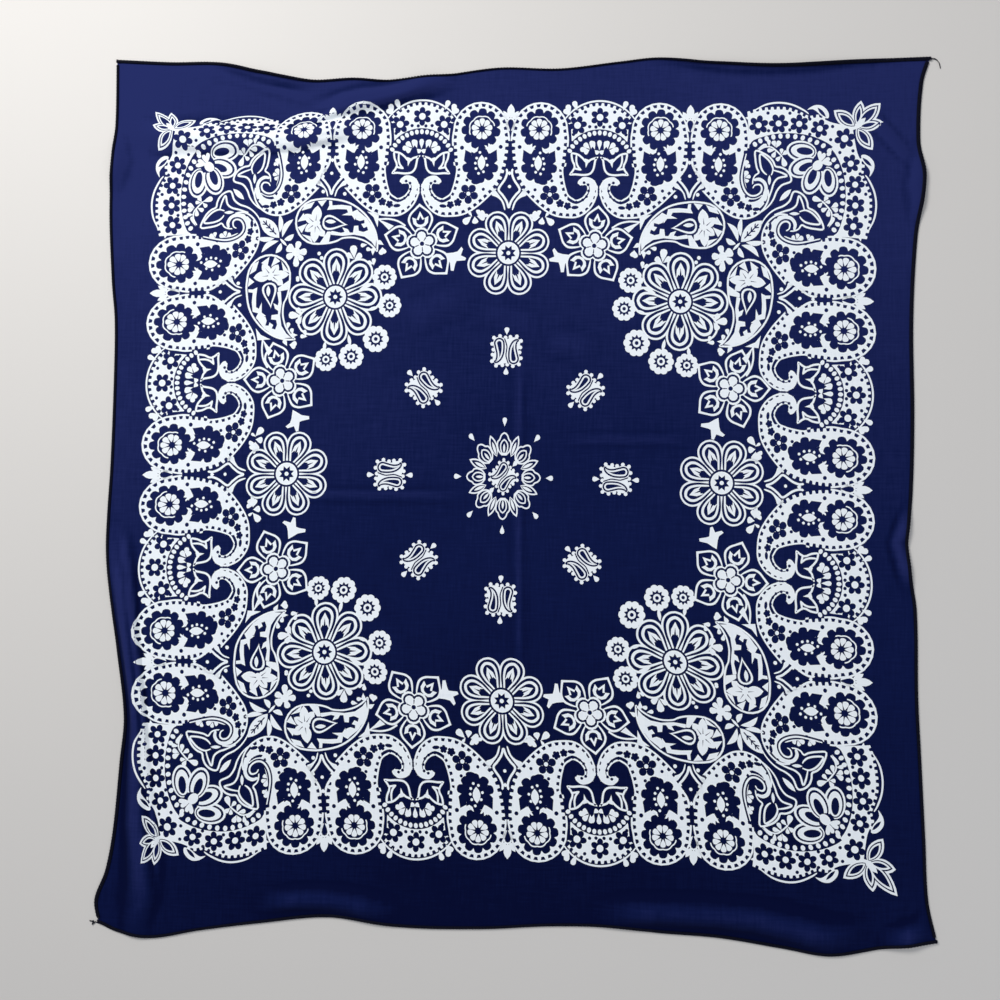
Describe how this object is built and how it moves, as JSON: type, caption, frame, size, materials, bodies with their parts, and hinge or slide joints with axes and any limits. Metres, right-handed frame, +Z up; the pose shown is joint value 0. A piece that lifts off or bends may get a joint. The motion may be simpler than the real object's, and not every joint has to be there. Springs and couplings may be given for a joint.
{
  "type": "bandana",
  "caption": "Square navy cotton bandana with a white paisley and flower print and overlocked hems, laid flat with soft folds along its sides.",
  "frame": {"origin": "middle of the bandana's footprint, on the surface it lies on", "axes": "+Z up from the surface, out of the printed face; +Y towards the top hem, along the longer side; +X towards the right hem"},
  "size_m": [0.534, 0.571, 0.007],
  "materials": {
    "navy_cotton": "thin plain-woven cotton, matt, dyed navy",
    "white_ink": "white print on the cotton's face, matt",
    "navy_thread": "overlock thread, near-black navy"
  },
  "bodies": {
    "root": {"cloth_panel": "navy_cotton", "hem_top": "navy_thread", "hem_bottom": "navy_thread", "hem_left": "navy_thread", "hem_right": "navy_thread"}
  },
  "joints": []
}
